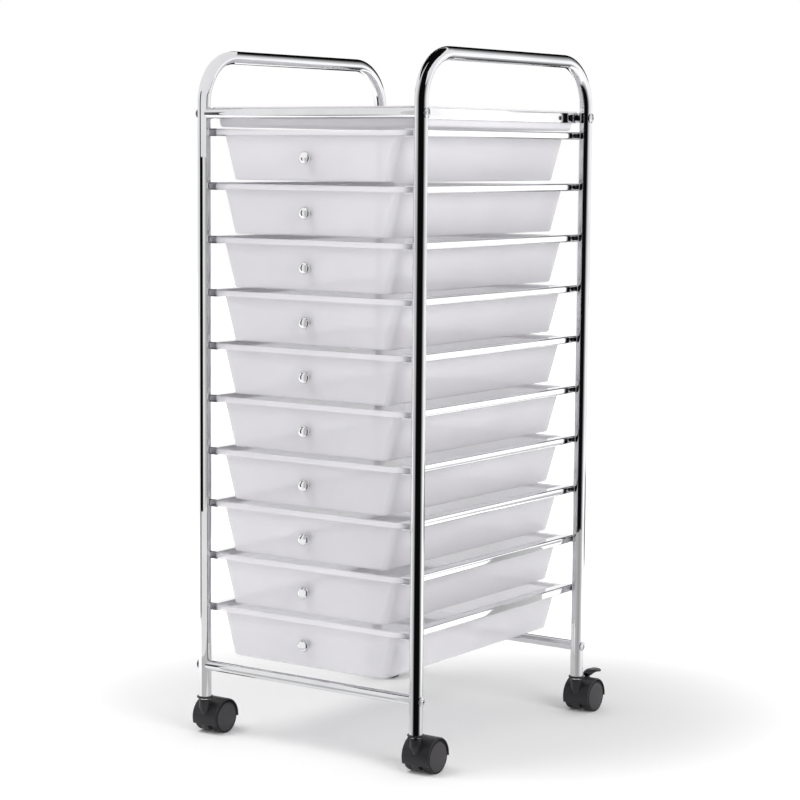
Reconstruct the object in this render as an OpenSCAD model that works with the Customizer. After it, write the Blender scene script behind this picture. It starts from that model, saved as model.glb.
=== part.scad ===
// Rolling drawer cart: two bent tube side frames, crossbars, ten drawers on
// channel rails, a top tray and four twin wheel casters. Millimetres, +Z up.
// The origin is on the floor, under the middle of the cart's overall box, which
// runs from the knobs to the brake levers' tips. The drawers face -Y.

/* [Side frames] */
// Distance between post centres, left to right
post_span_x = 350; // [330:1:450]
// Distance between post centres, front to back
post_span_y = 408; // [370:1:500]
// Outer diameter of the side frame tube
tube_d = 18; // [17:0.5:22]
// Wall of the side frame tube
tube_wall = 1.2; // [1:0.1:2]
// Centreline radius of the two bends of each side frame
bend_r = 63; // [40:1:72]
// Rise of the handle bar's top above the tray rail's top
handle_rise = 78; // [74:1:120]

/* [Crossbars] */
// Outer diameter of a crossbar
bar_d = 14; // [12:0.5:16]
// Wall of a crossbar
bar_wall = 1.2; // [1:0.1:2]
// Height of the bottom crossbars' centres above the post ends
bar_above_foot = 43.5; // [32:0.5:50]
// Length of the threaded plug in each crossbar end
plug_len = 18; // [17:1:24]

/* [Frame screws] */
// Shank diameter of a frame screw
screw_d = 5; // [4:0.5:6]
// Head diameter of a frame screw
screw_head_d = 13; // [11:0.5:14]
// Head height of a frame screw
screw_head_h = 2.4; // [2:0.1:3.4]
// Depth that a frame screw reaches into its crossbar
screw_grip = 14; // [10:1:16]
// Height of the straight edge under a frame screw's dome
head_edge = 0.6; // [0.4:0.1:1]
// Length of the cross recess's arms in a frame screw head
cross_len = 6; // [5:0.5:7]
// Width of the flat rim round the cross recess's arm ends
recess_rim = 0.4; // [0.2:0.1:0.6]
// Width of the cross recess's arms
cross_wide = 1.4; // [1:0.1:2]
// Depth of the cross recess
cross_deep = 1.5; // [0.8:0.1:1.8]
// Width of the clearance all round a screw shank in its post
screw_hole_gap = 0.2; // [0.1:0.05:0.4]

/* [Rails] */
// Width of a drawer rail's flanges
rail_w = 14; // [12:0.5:18]
// Height of a drawer rail
rail_h = 10; // [9:0.5:12]
// Height of the tray rails, upright strips between the top crossbars
tray_rail_h = 14; // [11:0.5:16]
// Length that a tray rail reaches past the inner sides of the top crossbars
tray_rail_cope = 1.2; // [1:0.1:1.5]
// Sheet thickness of the rails
rail_wall = 1.2; // [0.8:0.1:1.6]
// Length that the rails run past the post centres
rail_past_post = 2; // [0:0.5:4]
// Height of the lowest rail's top above the bottom crossbars' centres
rail_above_bar = 88; // [80:1:120]
// Distance from one drawer rail to the next
rail_pitch = 71.2; // [62:0.1:80]
// Height of the tray rail's top above the top drawer rail's top
tray_above_rail = 26.5; // [24:0.5:34]

/* [Drawers] */
// Number of drawers
drawer_count = 10; // [1:1:12]
// Wall and floor thickness of a drawer
drawer_wall = 2; // [1.5:0.1:3]
// Clear height between a drawer's floor and the rim of the drawer below
drawer_gap = 5.2; // [3:0.2:9]
// Gap between the top of a drawer's side and the rail beside it
side_gap = 7; // [6:0.5:12]
// Distance that a drawer's sides slope in from top to floor
side_slope = 19.5; // [8:0.5:24]
// Distance of the drawer's front wall ahead of the post centres
front_past_post = 1; // [0:0.5:4]
// Width of the rim in front of the front wall
front_rim = 6; // [4:0.5:9]
// Width of the rim behind the rear wall
rear_rim = 1.5; // [1:0.5:20]
// Corner radius of the drawer's body
body_corner = 10; // [8:1:20]
// Radius of the rim's two front corners
rim_front_corner = 28; // [20:1:32]
// Radius of the rim's two rear corners
rim_rear_corner = 6; // [3:1:8]
// Thickness of the rim's plate and skirt
rim_t = 2; // [1.5:0.1:2.5]
// Gap above and below the rim in its rail
slide_gap = 0.3; // [0.2:0.05:0.6]
// Gap between the rim and the rail's web on each side
runner_gap = 0.8; // [0.4:0.1:1.5]

/* [Knobs] */
// Diameter of a knob's head
knob_d = 17.5; // [14:0.5:22]
// Length of a knob from the drawer front
knob_len = 15; // [13:0.5:20]
// Diameter of a knob's neck
knob_neck_d = 8; // [7:0.5:10]
// Diameter of a knob's foot
knob_foot_d = 11; // [9:0.5:13]
// Height of a knob's foot and neck together
knob_neck_len = 5; // [4:0.5:7]
// Distance from the rim's top down to the knob's centre
knob_drop = 36; // [26:1:44]
// Diameter of a knob screw
knob_screw_d = 4; // [3:0.5:5]
// Head diameter of a knob screw
knob_screw_head_d = 8; // [6.5:0.5:9]
// Head height of a knob screw
knob_screw_head_h = 2.4; // [2:0.1:3]
// Depth of a knob's threaded hole
knob_hole_depth = 9; // [7:0.5:10]
// Height of the rim of a knob's foot
knob_foot_h = 1.5; // [1:0.1:3]
// Diameter of a knob's head where it meets the neck
knob_cone_d = 10; // [8:0.5:12]
// Height of the cone under a knob's dome
knob_cone_h = 3; // [2:0.5:4]
// Length of the cross recess's arms in a knob screw
knob_cross_len = 4; // [3:0.5:5]
// Depth of the cross recess in a knob screw
knob_cross_deep = 1.2; // [0.8:0.1:1.6]

/* [Top tray] */
// Height of the tray from its rim's top to its underside
tray_depth = 26.5; // [16:0.5:26.5]
// Wall and floor thickness of the tray
tray_wall = 2; // [1.5:0.1:3]
// Gap between the tray's sides and the tray rails beside them
tray_side_gap = 1.8; // [1:0.1:5]
// Gap between the tray's ends and the crossbars
tray_end_gap = 1.5; // [1:0.5:5]
// Distance that the tray's walls slope in from top to floor
tray_slope = 2.5; // [2:0.5:12]
// Corner radius of the tray's body
tray_corner = 9; // [8:1:24]
// Gap between the tray rim's side edges and the posts
tray_rim_gap = 0.5; // [0.4:0.1:1]
// Corner radius of the tray's rim
tray_rim_corner = 10; // [4:1:14]

/* [Casters] */
// Diameter of a wheel
wheel_d = 44; // [38:1:50]
// Width of a wheel
wheel_w = 14.4; // [11:0.2:18]
// Thickness of a wheel's tread
tread_t = 3.5; // [2.5:0.5:5]
// Diameter of a wheel's hub
hub_d = 12; // [9:0.5:14]
// Thickness of a wheel's outer face
wheel_face_t = 4; // [3.5:0.5:6]
// Edge rounding of a wheel's tread
tread_edge = 1.2; // [0.6:0.2:2]
// Distance from the swivel axis back to the axle
trail = 22.5; // [18:0.5:26]
// Width of the housing's middle web between the wheels
web_w = 12; // [11:0.5:14]
// Gap between a wheel's inner face and the web
wheel_side_gap = 0.5; // [0.3:0.1:1]
// Gap between the wheels and the hood round them
hood_gap = 1.6; // [0.8:0.1:2]
// Wall of the hood
hood_wall = 2.3; // [1.4:0.1:3]
// Distance that the wheels stand out beyond the hood's sides
wheel_proud = 0.4; // [0:0.1:1]
// Height of the hood's open edge above the floor, under the axle
hood_edge_z = 16.5; // [13:0.5:19]
// Upward slope of the hood's open edge towards the rear in degrees
hood_tilt = 8; // [0:1:10]
// Height of the web's lower edge above the floor
web_edge_z = 6; // [5:0.5:12]
// Diameter of the column round the stem
column_d = 16; // [14:0.5:20]
// Diameter of the column's foot
column_foot_d = 7; // [6:0.5:10]
// Height of the taper above the column's foot
column_taper = 10; // [8:0.5:12]
// Length of the column below the stem's hole
column_below = 5; // [4:0.5:6]
// Height of the column's top above the hood
column_rise = 0.6; // [0.4:0.2:3]
// Diameter of the stem
stem_d = 8; // [6:0.5:8.5]
// Diameter of the stem's collar
collar_d = 11.5; // [10:0.5:14]
// Height of the stem's collar
collar_h = 2.9; // [2:0.1:5]
// Gap under the stem's collar
swivel_gap = 0.1; // [0.05:0.05:0.3]
// Length of the stem in its socket
stem_up = 27; // [20:1:34]
// Length of the stem in the housing
stem_down = 16; // [12:1:17]
// Diameter of the axle
axle_d = 5; // [4:0.5:7]
// Length of an axle's end in each wheel
axle_grip = 11.4; // [8:0.2:12]
// Distance that a socket's flange stands out past its post
socket_lip = 2.2; // [1:0.1:4]
// Thickness of a socket's flange
socket_flange_t = 2.5; // [1.5:0.1:4]
// Length of a socket inside its post
socket_len = 28; // [27:1:34]
// Radial gap of a turning pin in its hole
pin_gap = 0.05; // [0.03:0.01:0.08]
// Radial gap of a fixed piece in its hole
fixed_gap = 0.03; // [0.02:0.01:0.06]

/* [Brake levers] */
// Distance from the axle back to a brake lever's pivot
pivot_back = 9; // [7:0.5:10]
// Height of a brake lever's pivot above the axle
pivot_up = 14.5; // [13:0.5:16]
// Diameter of a brake lever's pivot pin
pivot_d = 3; // [2.5:0.5:3.5]
// Distance of the pivot pin's ends inside the web's faces
pivot_inset = 0.2; // [0.1:0.1:0.5]
// Thickness of a brake lever's tab
tab_t = 4.2; // [2.5:0.1:5]
// Length of a brake lever's tab behind its stalk
tab_len = 29; // [20:1:34]
// Width of a brake lever's tab at its tip
tab_tip_w = 20; // [14:1:26]
// Corner radius of a brake lever's tab at its tip
tab_tip_r = 4; // [2:0.5:6]
// Width of a brake lever's tab at its root
tab_root_w = 13; // [9:1:14]
// Corner radius of a brake lever's tab at its root
tab_root_r = 3; // [2:0.5:4]
// Upward slope of a brake lever's tab in degrees
tab_tilt = 6; // [0:1:8]
// Width of a brake lever's stalk
stalk_w = 5.6; // [4:0.2:6]
// Gap on each side of a brake lever's stalk
stalk_gap = 0.3; // [0.2:0.1:0.5]
// Travel of a brake lever in degrees
lever_travel = 12; // [6:1:14]
// Height of a brake lever's tab above the hood
tab_rise = 1.5; // [1.2:0.1:3]

/* [Hidden] */
$fn = 64;
eps = 0.01;
over = 1;
tube_r = tube_d / 2;
post_x = post_span_x / 2;
post_y = post_span_y / 2;

axle_z = wheel_d / 2;
pocket_r = wheel_d / 2 + hood_gap;
hood_r = pocket_r + hood_wall;
hood_top = axle_z + hood_r;
column_top = hood_top + column_rise;
collar_z = column_top + swivel_gap;
flange_z = collar_z + collar_h;
foot_z = flange_z + socket_flange_t;
wheel_in = web_w / 2 + wheel_side_gap;
tab_z = sqrt(pow(hood_r, 2) - pow(pivot_back, 2)) - pivot_up + tab_rise;
lever_room = tab_z * sin(lever_travel) + stalk_gap;
hood_half_w = wheel_in + wheel_w - wheel_proud;

bottom_bar_z = foot_z + bar_above_foot;
lowest_rail_z = bottom_bar_z + rail_above_bar;
tray_rail_z = lowest_rail_z + (drawer_count - 1) * rail_pitch + tray_above_rail;
top_bar_z = tray_rail_z - bar_d / 2;
frame_top_z = tray_rail_z + handle_rise;
handle_z = frame_top_z - tube_r;

rail_out_x = post_x - tube_r;
rail_in_x = rail_out_x - rail_w;
rail_end_y = post_y + rail_past_post;
plug_r = bar_d / 2 - bar_wall;

drawer_h = rail_pitch - drawer_gap;
rim_drop = rail_wall + slide_gap;
skirt_h = rail_h - 2 * rim_drop;
rim_x = rail_out_x - rail_wall - runner_gap;
body_top_x = rail_in_x - side_gap;
body_floor_x = body_top_x - side_slope;
body_front_y = -(post_y + front_past_post);
rim_front_y = body_front_y - front_rim;
rim_rear_y = rail_end_y - rail_wall - slide_gap;
body_rear_y = rim_rear_y - rear_rim;

// Middle of the overall box, counted from the middle of the side frames
lever_tip_y = post_y + trail + pivot_back - pivot_d + tab_len * cos(tab_tilt);
knob_tip_y = body_front_y - knob_len;
middle_y = (lever_tip_y + knob_tip_y) / 2;

tray_x = rail_out_x - rail_wall - tray_side_gap;
tray_y = post_y - bar_d / 2 - tray_end_gap;
tray_rim_x = rail_out_x - tray_rim_gap;
tray_rim_y = post_y;

chrome = [0.8, 0.81, 0.83];
steel = [0.6, 0.62, 0.64];
frosted = [0.9, 0.89, 0.92, 0.6];
nylon = [0.07, 0.07, 0.08];
nylon_disc = [0.2, 0.19, 0.2];

corners = ["front_left", "front_right", "rear_left", "rear_right"];
corner_x = [-post_x, post_x, -post_x, post_x];
corner_y = [-post_y, -post_y, post_y, post_y];

function two_digits(n) = n < 10 ? str("0", n) : str(n);
function rail_z(i) = lowest_rail_z + (drawer_count - 1 - i) * rail_pitch;
function rim_z(i) = rail_z(i) - rim_drop;
function is_braked(c) = c > 1;

// A flat rectangle with four corners of its own radii, from two corner points
module rounded_plate(x, y_front, y_rear, r_front, r_rear) {
    translate([-x, y_front + r_front])
        square([2 * x, y_rear - y_front - r_front - r_rear]);
    translate([-x + r_front, y_front])
        square([2 * (x - r_front), r_front + eps]);
    translate([-x + r_rear, y_rear - r_rear - eps])
        square([2 * (x - r_rear), r_rear + eps]);
    for (s = [-1, 1]) {
        translate([s * (x - r_front), y_front + r_front]) circle(r_front);
        translate([s * (x - r_rear), y_rear - r_rear]) circle(r_rear);
    }
}

// A tapered tub: the hull of eight short corner cylinders
module tub(x_top, x_floor, y_front, y_rear, slope_y, z_floor, z_top, r) {
    thin = 0.1;
    hull() {
        for (s = [-1, 1]) {
            for (y = [y_front + r, y_rear - r])
                translate([s * (x_top - r), y, z_top - thin]) cylinder(r = r, h = thin, $fn = 32);
            for (y = [y_front + slope_y + r, y_rear - slope_y - r])
                translate([s * (x_floor - r), y, z_floor]) cylinder(r = r, h = thin, $fn = 32);
        }
    }
}

// A tube along Z with its bore
module straight_tube(length, d, wall) {
    difference() {
        cylinder(d = d, h = length);
        translate([0, 0, -over]) cylinder(d = d - 2 * wall, h = length + 2 * over);
    }
}

// One quarter bend of the side frame, in the YZ plane
module quarter_bend() {
    rotate([90, 0, 90])
        rotate_extrude(angle = 90)
            translate([bend_r, 0])
                difference() {
                    circle(d = tube_d);
                    circle(d = tube_d - 2 * tube_wall);
                }
}

// A side frame: one tube bent into an upside down U, drilled for four screws
module side_frame(side) {
    bend_z = handle_z - bend_r;
    bend_y = post_y - bend_r;
    color(chrome)
        translate([side * post_x, 0, 0])
            difference() {
                union() {
                    for (s = [-1, 1])
                        translate([0, s * post_y, foot_z])
                            straight_tube(bend_z - foot_z, tube_d, tube_wall);
                    translate([0, bend_y, bend_z]) quarter_bend();
                    mirror([0, 1, 0]) translate([0, bend_y, bend_z]) quarter_bend();
                    translate([0, -bend_y, handle_z])
                        rotate([-90, 0, 0])
                            straight_tube(2 * bend_y, tube_d, tube_wall);
                }
                for (s = [-1, 1], z = [bottom_bar_z, top_bar_z])
                    translate([-tube_d, s * post_y, z])
                        rotate([0, 90, 0])
                            cylinder(d = screw_d + 2 * screw_hole_gap, h = 2 * tube_d);
            }
}

// One rail on the right side: a channel that opens inwards, with a plate
// across its rear end. Its web lies against the posts
module rail(z_top, h, end_y) {
    difference() {
        translate([rail_in_x, -end_y, z_top - h])
            cube([rail_w, 2 * end_y, h]);
        translate([rail_in_x - over, -end_y - over, z_top - h + rail_wall])
            cube([rail_w - rail_wall + over, 2 * end_y + over - rail_wall, h - 2 * rail_wall]);
        for (s = [-1, 1])
            translate([post_x, s * post_y, z_top - h - over])
                cylinder(r = tube_r + fixed_gap, h = h + 2 * over);
    }
}

// A plain strip against the posts, its ends cut to the round of the top
// crossbars
module tray_rail() {
    end_y = post_y - bar_d / 2 + tray_rail_cope;
    difference() {
        translate([rail_out_x - rail_wall, -end_y, tray_rail_z - tray_rail_h])
            cube([rail_wall, 2 * end_y, tray_rail_h]);
        for (s = [-1, 1])
            translate([0, s * post_y, top_bar_z])
                rotate([0, 90, 0])
                    cylinder(r = bar_d / 2 + fixed_gap, h = post_x);
    }
}

module right_rail_set() {
    color(chrome) {
        for (i = [0:drawer_count - 1]) rail(rail_z(i), rail_h, rail_end_y);
        tray_rail();
    }
}

module left_rail_set() {
    mirror([1, 0, 0]) right_rail_set();
}

// A crossbar along X: a tube with a threaded plug in each end, cut to the
// round of the posts that it meets
module crossbar(y, z) {
    half = rail_out_x + tube_r / 2;
    color(chrome)
        difference() {
            translate([-half, y, z])
                rotate([0, 90, 0])
                    cylinder(d = bar_d, h = 2 * half);
            translate([-rail_out_x + plug_len, y, z])
                rotate([0, 90, 0])
                    cylinder(r = plug_r, h = 2 * (rail_out_x - plug_len));
            for (s = [-1, 1]) {
                translate([s * post_x, y, z - bar_d])
                    cylinder(r = tube_r + fixed_gap, h = 2 * bar_d);
                translate([s * rail_out_x - plug_len - over, y, z])
                    rotate([0, 90, 0])
                        cylinder(d = screw_d + 2 * fixed_gap, h = 2 * (plug_len + over));
            }
        }
}

// A dome headed screw with a cross recess. Its seat is at the origin and its
// head points along +X
module frame_screw() {
    flat_r = cross_len / 2 + recess_rim;
    edge_r = screw_head_d / 2;
    rise = screw_head_h - head_edge;
    dome_z = (pow(flat_r, 2) + pow(screw_head_h, 2) - pow(edge_r, 2) - pow(head_edge, 2)) / (2 * rise);
    dome_r = sqrt(pow(edge_r, 2) + pow(head_edge - dome_z, 2));
    shank_len = tube_d + screw_grip;
    color(chrome)
        rotate([0, 90, 0])
            difference() {
                union() {
                    translate([0, 0, -shank_len]) cylinder(d = screw_d, h = shank_len + head_edge);
                    cylinder(d = screw_head_d, h = head_edge);
                    intersection() {
                        translate([0, 0, dome_z]) sphere(dome_r);
                        translate([0, 0, head_edge]) cylinder(r = edge_r, h = rise);
                    }
                }
                for (a = [0, 90])
                    rotate([0, 0, a])
                        translate([-cross_len / 2, -cross_wide / 2, screw_head_h - cross_deep])
                            cube([cross_len, cross_wide, cross_deep + over]);
            }
}

module frame_screw_set() {
    for (y = [-post_y, post_y], z = [bottom_bar_z, top_bar_z]) {
        translate([post_x + tube_r, y, z]) frame_screw();
        mirror([1, 0, 0]) translate([post_x + tube_r, y, z]) frame_screw();
    }
}

// The shallow tray: its rim lies on the tray rails and the top crossbars
module tray() {
    z_rim = tray_rail_z;
    z_top = z_rim + tray_wall;
    z_floor = z_top - tray_depth;
    color(frosted)
        difference() {
            union() {
                tub(tray_x, tray_x - tray_slope, -tray_y, tray_y, tray_slope,
                    z_floor, z_top, tray_corner);
                translate([0, 0, z_rim])
                    linear_extrude(tray_wall)
                        rounded_plate(tray_rim_x, -tray_rim_y, tray_rim_y,
                                      tray_rim_corner, tray_rim_corner);
            }
            tub(tray_x - tray_wall, tray_x - tray_slope - tray_wall,
                -tray_y + tray_wall, tray_y - tray_wall, tray_slope,
                z_floor + tray_wall, z_top + eps, tray_corner - tray_wall);
        }
}

// A drawer: a tapered tub with a rim whose skirt runs in the rails
module drawer(i) {
    z = rim_z(i);
    z_floor = z - drawer_h;
    inner_corner = body_corner - drawer_wall;
    color(frosted)
        difference() {
            union() {
                tub(body_top_x, body_floor_x, body_front_y, body_rear_y, 0,
                    z_floor, z, body_corner);
                translate([0, 0, z - rim_t])
                    linear_extrude(rim_t)
                        rounded_plate(rim_x, rim_front_y, rim_rear_y,
                                      rim_front_corner, rim_rear_corner);
                translate([0, 0, z - skirt_h])
                    linear_extrude(skirt_h)
                        difference() {
                            rounded_plate(rim_x, rim_front_y, rim_rear_y,
                                          rim_front_corner, rim_rear_corner);
                            rounded_plate(rim_x - rim_t, rim_front_y + rim_t, rim_rear_y - rim_t,
                                          rim_front_corner - rim_t, rim_rear_corner - rim_t);
                        }
            }
            tub(body_top_x - drawer_wall, body_floor_x - drawer_wall,
                body_front_y + drawer_wall, body_rear_y - drawer_wall, 0,
                z_floor + drawer_wall, z + eps, inner_corner);
            translate([0, body_front_y - over, z - knob_drop])
                rotate([-90, 0, 0])
                    cylinder(d = knob_screw_d + 2 * fixed_gap, h = drawer_wall + 2 * over);
        }
}

// A knob turned from solid metal, on the drawer's front wall
module knob(i) {
    dome_h = knob_len - knob_neck_len;
    cap_h = dome_h - knob_cone_h;
    dome_r = (pow(knob_d / 2, 2) + pow(cap_h, 2)) / (2 * cap_h);
    color(chrome)
        translate([0, body_front_y, rim_z(i) - knob_drop])
            rotate([90, 0, 0])
                difference() {
                    union() {
                        cylinder(d = knob_foot_d, h = knob_foot_h);
                        cylinder(d = knob_neck_d, h = knob_neck_len + knob_cone_h);
                        translate([0, 0, knob_neck_len])
                            cylinder(d1 = knob_cone_d, d2 = knob_d, h = knob_cone_h);
                        intersection() {
                            translate([0, 0, knob_len - dome_r]) sphere(dome_r);
                            translate([0, 0, knob_neck_len + knob_cone_h])
                                cylinder(d = knob_d, h = cap_h);
                        }
                    }
                    translate([0, 0, -over])
                        cylinder(d = knob_screw_d + 2 * fixed_gap, h = knob_hole_depth + over);
                }
}

// The screw that holds a knob, from inside the drawer
module knob_screw(i) {
    reach = knob_hole_depth - over;
    color(steel)
        translate([0, body_front_y + drawer_wall, rim_z(i) - knob_drop])
            rotate([90, 0, 0])
                difference() {
                    union() {
                        cylinder(d = knob_screw_d, h = drawer_wall + reach);
                        translate([0, 0, -knob_screw_head_h])
                            cylinder(d = knob_screw_head_d, h = knob_screw_head_h);
                    }
                    for (a = [0, 90])
                        rotate([0, 0, a])
                            translate([-knob_cross_len / 2, -cross_wide / 2, -knob_screw_head_h - over])
                                cube([knob_cross_len, cross_wide, knob_cross_deep + over]);
                }
}

// The plastic socket in a post's end
module caster_socket() {
    color(nylon)
        difference() {
            union() {
                translate([0, 0, flange_z]) cylinder(r = tube_r + socket_lip, h = socket_flange_t);
                translate([0, 0, foot_z - eps])
                    cylinder(r = tube_r - tube_wall - fixed_gap, h = socket_len + eps);
            }
            translate([0, 0, flange_z - over])
                cylinder(d = stem_d + 2 * fixed_gap, h = socket_flange_t + socket_len + 2 * over);
        }
}

// The steel stem that a caster turns on
module caster_stem() {
    color(steel) {
        translate([0, 0, column_top - stem_down])
            cylinder(d = stem_d, h = stem_down + swivel_gap + collar_h + stem_up);
        translate([0, 0, collar_z]) cylinder(d = collar_d, h = collar_h);
    }
}

// Everything is drawn round the middle of the side frames and then moved here
module placed() {
    translate([0, -middle_y, 0]) children();
}

module at_corners() {
    for (c = [0:3]) translate([corner_x[c], corner_y[c], 0]) children();
}

// The column that the stem stands in, tapered where it sinks into the hood
module stem_column() {
    root_z = column_top - stem_down - column_below;
    translate([0, 0, root_z])
        cylinder(d1 = column_foot_d, d2 = column_d, h = column_taper);
    translate([0, 0, root_z + column_taper])
        cylinder(d = column_d, h = column_top - root_z - column_taper);
}

// The side view of the room for a wheel, with Y across and Z up: the pocket
// round the wheel and all that lies under the hood's open edge
module wheel_room() {
    translate([trail, axle_z]) circle(pocket_r);
    translate([trail, hood_edge_z])
        rotate(hood_tilt)
            translate([-2 * hood_r, -2 * hood_r]) square([4 * hood_r, 2 * hood_r]);
}

// A caster housing: the middle web, the hood over both wheels and the column
module caster_housing(c) {
    pivot_y = trail + pivot_back;
    pivot_z = axle_z + pivot_up;
    slot_w = stalk_w + 2 * stalk_gap;
    color(nylon)
        translate([corner_x[c], corner_y[c], 0])
            difference() {
                union() {
                    translate([-hood_half_w, trail, axle_z])
                        rotate([0, 90, 0])
                            cylinder(r = hood_r, h = 2 * hood_half_w);
                    stem_column();
                }
                for (x = [web_w / 2, -web_w / 2 - hood_half_w])
                    translate([x, 0, 0])
                        rotate([90, 0, 90])
                            linear_extrude(hood_half_w) wheel_room();
                translate([-web_w, trail - 2 * hood_r, -hood_r])
                    cube([2 * web_w, 4 * hood_r, hood_r + web_edge_z]);
                translate([0, 0, column_top - stem_down - slide_gap])
                    cylinder(d = stem_d + 2 * pin_gap, h = stem_down + slide_gap + over);
                translate([-web_w, trail, axle_z])
                    rotate([0, 90, 0]) cylinder(d = axle_d + 2 * fixed_gap, h = 2 * web_w);
                if (is_braked(c)) {
                    translate([-slot_w / 2, pivot_y - pivot_d - over, pivot_z - pivot_d - over / 2])
                        cube([slot_w, 2 * pivot_d + over + lever_room, hood_r]);
                    translate([-web_w, pivot_y, pivot_z])
                        rotate([0, 90, 0]) cylinder(d = pivot_d + 2 * pin_gap, h = 2 * web_w);
                }
            }
}

module axle(c) {
    half = wheel_in + axle_grip;
    color(steel)
        translate([corner_x[c] - half, corner_y[c] + trail, axle_z])
            rotate([0, 90, 0]) cylinder(d = axle_d, h = 2 * half);
}

// Half of a wheel's section: its axis is X, its inner face is at zero
module wheel_profile() {
    r = wheel_d / 2;
    difference() {
        union() {
            square([r - tread_edge, wheel_w]);
            translate([0, tread_edge]) square([r, wheel_w - 2 * tread_edge]);
            for (y = [tread_edge, wheel_w - tread_edge])
                translate([r - tread_edge, y]) circle(tread_edge);
        }
        translate([hub_d / 2, -over])
            square([r - tread_t - hub_d / 2, wheel_w - wheel_face_t + over]);
        translate([-r, -tread_edge - over]) square([r, wheel_w + 2 * (tread_edge + over)]);
    }
}

module wheel(c, side) {
    color(nylon_disc)
        translate([corner_x[c], corner_y[c] + trail, axle_z])
            mirror([side < 0 ? 1 : 0, 0, 0])
                translate([wheel_in, 0, 0])
                    rotate([0, 90, 0])
                        difference() {
                            rotate_extrude() wheel_profile();
                            translate([0, 0, -over])
                                cylinder(d = axle_d + 2 * pin_gap, h = axle_grip + slide_gap + over);
                        }
}

// A brake lever: a tab behind the hood on a stalk that turns in the web
module brake_lever(c) {
    pivot_y = trail + pivot_back;
    pivot_z = axle_z + pivot_up;
    color(nylon)
        translate([corner_x[c], corner_y[c] + pivot_y, pivot_z]) {
            translate([pivot_inset - web_w / 2, 0, 0])
                rotate([0, 90, 0]) cylinder(d = pivot_d, h = web_w - 2 * pivot_inset);
            translate([-stalk_w / 2, -pivot_d, -pivot_d / 2])
                cube([stalk_w, 2 * pivot_d, tab_z + tab_t / 2 + pivot_d / 2]);
            translate([0, -pivot_d, tab_z])
                rotate([tab_tilt, 0, 0])
                    linear_extrude(tab_t)
                        union() {
                            polygon([
                                [-tab_root_w / 2, tab_root_r],
                                [-tab_root_w / 2 + tab_root_r, 0],
                                [tab_root_w / 2 - tab_root_r, 0],
                                [tab_root_w / 2, tab_root_r],
                                [tab_tip_w / 2, tab_len - tab_tip_r],
                                [tab_tip_w / 2 - tab_tip_r, tab_len],
                                [tab_tip_r - tab_tip_w / 2, tab_len],
                                [-tab_tip_w / 2, tab_len - tab_tip_r]
                            ]);
                            for (s = [-1, 1]) {
                                translate([s * (tab_root_w / 2 - tab_root_r), tab_root_r])
                                    circle(tab_root_r);
                                translate([s * (tab_tip_w / 2 - tab_tip_r), tab_len - tab_tip_r])
                                    circle(tab_tip_r);
                            }
                        }
        }
}

placed() side_frame(-1);  // left_side_frame
placed() side_frame(1);  // right_side_frame
placed() left_rail_set();  // left_rails
placed() right_rail_set();  // right_rails
placed() crossbar(-post_y, top_bar_z);  // front_top_bar
placed() crossbar(post_y, top_bar_z);  // rear_top_bar
placed() crossbar(-post_y, bottom_bar_z);  // front_bottom_bar
placed() crossbar(post_y, bottom_bar_z);  // rear_bottom_bar
placed() tray();  // top_tray
placed() frame_screw_set();  // frame_screws
at_corners() placed() caster_socket();  // caster_sockets
at_corners() placed() caster_stem();  // caster_stems
for (i = [0:drawer_count - 1]) {
    number = two_digits(i + 1);
    placed() drawer(i);
    placed() knob(i);
    placed() knob_screw(i);
}
for (c = [0:3]) {
    placed() caster_housing(c);
    placed() axle(c);
    placed() wheel(c, -1);
    placed() wheel(c, 1);
}
placed() brake_lever(2);  // rear_left_brake_lever
placed() brake_lever(3);  // rear_right_brake_lever
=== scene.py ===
# Rolling drawer cart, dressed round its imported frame. Metres, +Z up, the drawers face -Y.
from math import asin, atan2, cos, degrees, hypot, pi, radians, sin, sqrt

import bmesh
import bpy
from mathutils import Matrix, Vector


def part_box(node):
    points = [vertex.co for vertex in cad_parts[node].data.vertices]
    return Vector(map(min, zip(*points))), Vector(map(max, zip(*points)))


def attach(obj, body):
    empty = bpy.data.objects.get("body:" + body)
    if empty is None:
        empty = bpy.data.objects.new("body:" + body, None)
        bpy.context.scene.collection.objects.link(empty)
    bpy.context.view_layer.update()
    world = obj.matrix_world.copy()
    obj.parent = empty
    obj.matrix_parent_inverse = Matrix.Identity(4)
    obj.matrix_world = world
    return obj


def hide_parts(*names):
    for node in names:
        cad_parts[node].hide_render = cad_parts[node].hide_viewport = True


mm = 0.001
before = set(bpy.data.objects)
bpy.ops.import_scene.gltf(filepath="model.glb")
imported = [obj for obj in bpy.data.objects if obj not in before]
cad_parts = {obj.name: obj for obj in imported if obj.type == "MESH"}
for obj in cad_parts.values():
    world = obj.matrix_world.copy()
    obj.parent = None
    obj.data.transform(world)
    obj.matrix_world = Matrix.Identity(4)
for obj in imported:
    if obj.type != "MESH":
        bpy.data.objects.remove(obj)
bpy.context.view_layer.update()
print("frame loaded:", len(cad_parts), "nodes")


# Mesh tools

def meshFrom(name, points, faces):
    mesh = bpy.data.meshes.new(name)
    mesh.from_pydata(points, [], faces)
    mesh.validate()
    mesh.update()
    return mesh


def shadeByAngle(mesh, angle):
    mesh.shade_smooth()
    mesh.set_sharp_from_angle(angle=radians(angle))


def outwards(mesh):
    # merges doubles and turns every face of a closed shell outwards
    bm = bmesh.new()
    bm.from_mesh(mesh)
    bmesh.ops.remove_doubles(bm, verts=bm.verts, dist=1e-6)
    bmesh.ops.recalc_face_normals(bm, faces=bm.faces)
    bm.to_mesh(mesh)
    bm.free()
    mesh.update()


def newObject(name, mesh):
    piece = bpy.data.objects.new(name, mesh)
    bpy.context.scene.collection.objects.link(piece)
    return piece


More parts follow.
